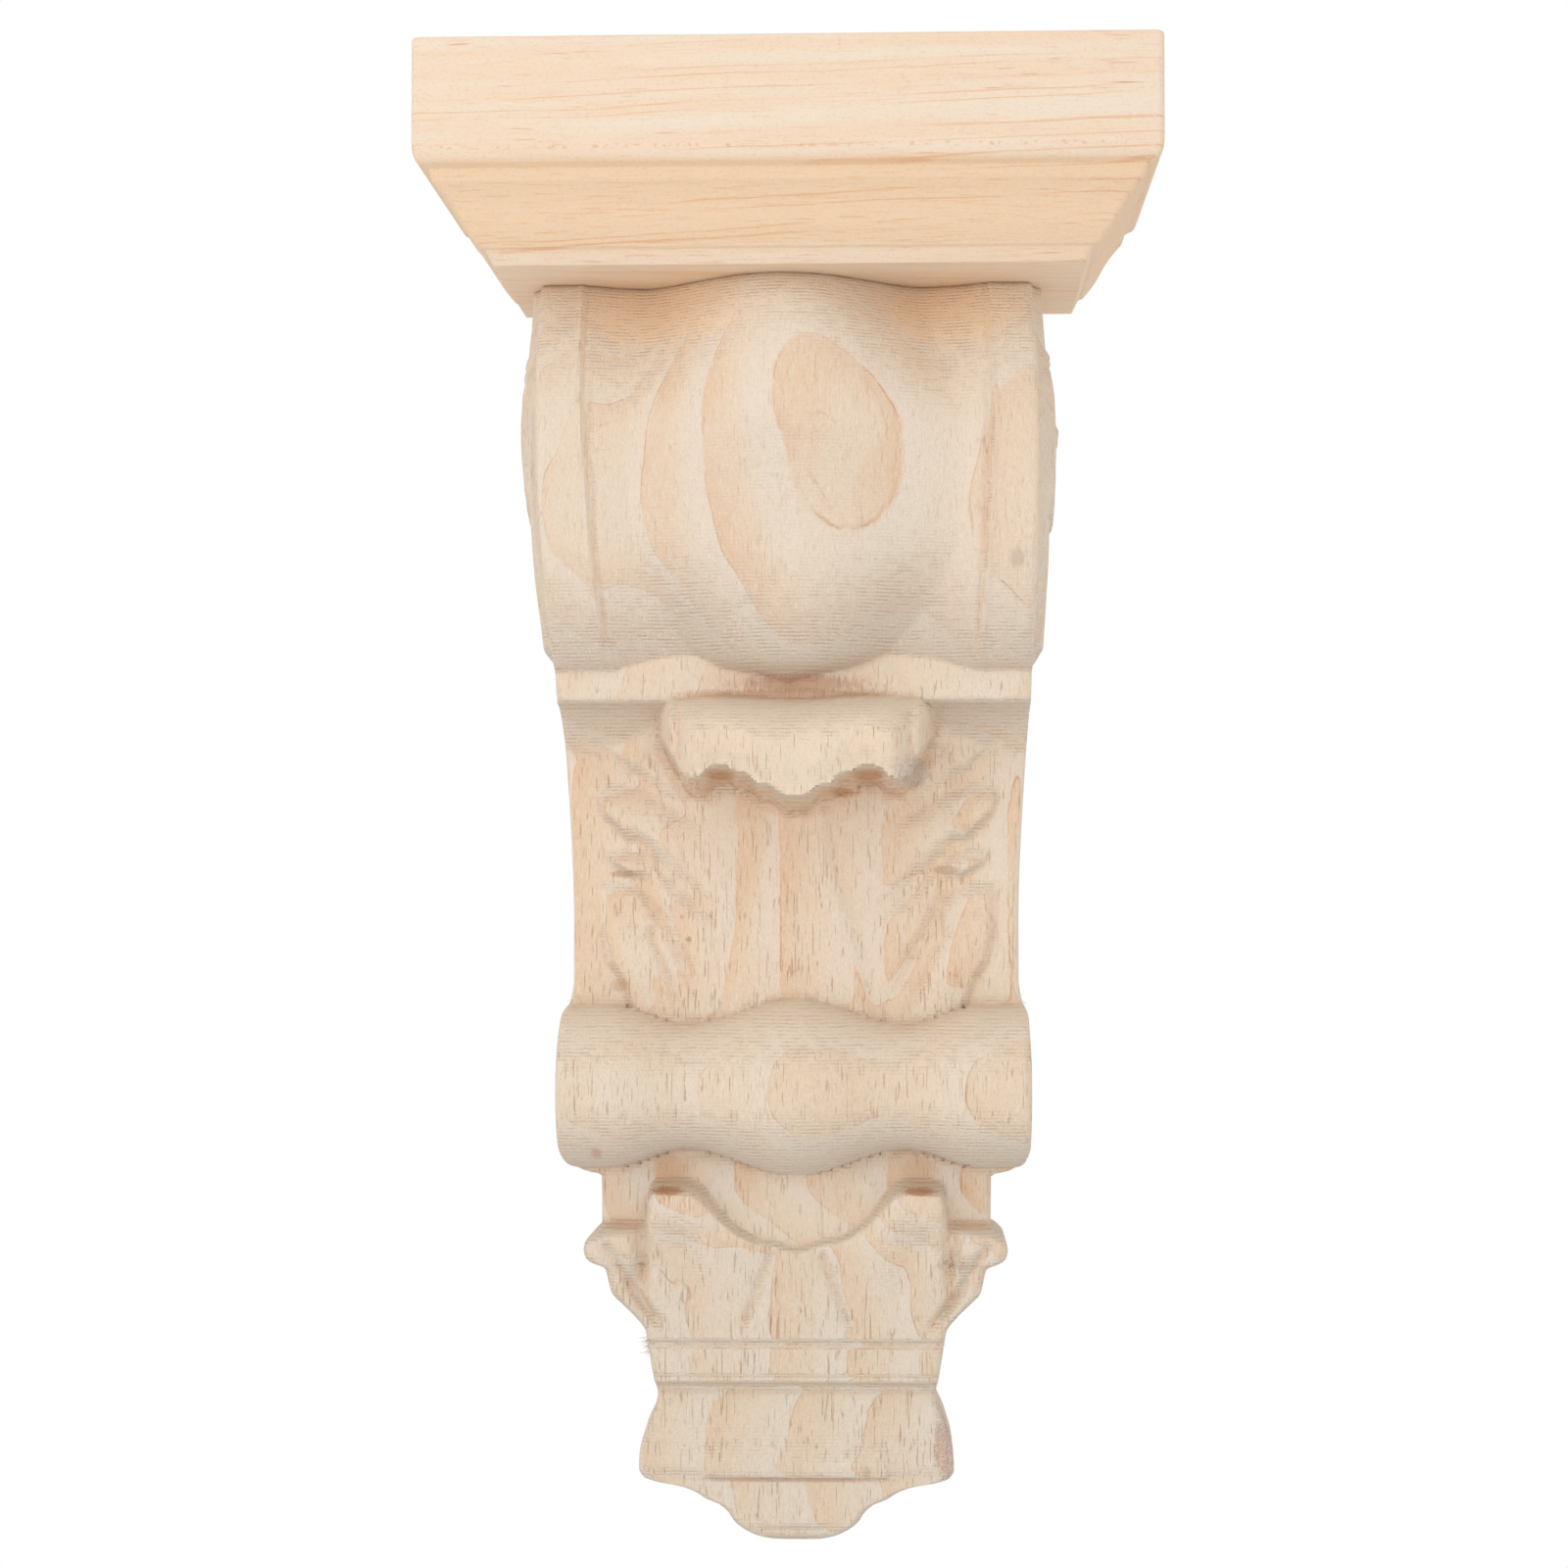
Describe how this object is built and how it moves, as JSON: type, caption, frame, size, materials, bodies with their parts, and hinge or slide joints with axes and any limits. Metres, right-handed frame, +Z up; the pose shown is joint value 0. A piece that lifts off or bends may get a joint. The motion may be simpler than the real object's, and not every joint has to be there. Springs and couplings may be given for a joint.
{
  "type": "countertop bracket",
  "caption": "Carved wooden corbel with a moulded cap, a scrolled body with acanthus leaf and spindle roll, and a leaf-cup pendant foot, for fixing to a wall under a counter or shelf.",
  "frame": {"origin": "on the flat back of the carved body, on its centre line, 122.5 mm under the joint with the cap, where it is fixed to the wall", "axes": "+Z up, +Y out of the back into the wall, so the carving faces -Y; +X to the right of a person who looks at the carving"},
  "size_m": [0.1252, 0.0626, 0.2582],
  "materials": {
    "cap_pine": "bare, fine sanded, straight horizontal grain",
    "carved_pine": "bare, machine carved, vertical grain"
  },
  "bodies": {
    "root": {"cap": "cap_pine", "carved_body": "carved_pine"}
  },
  "joints": []
}
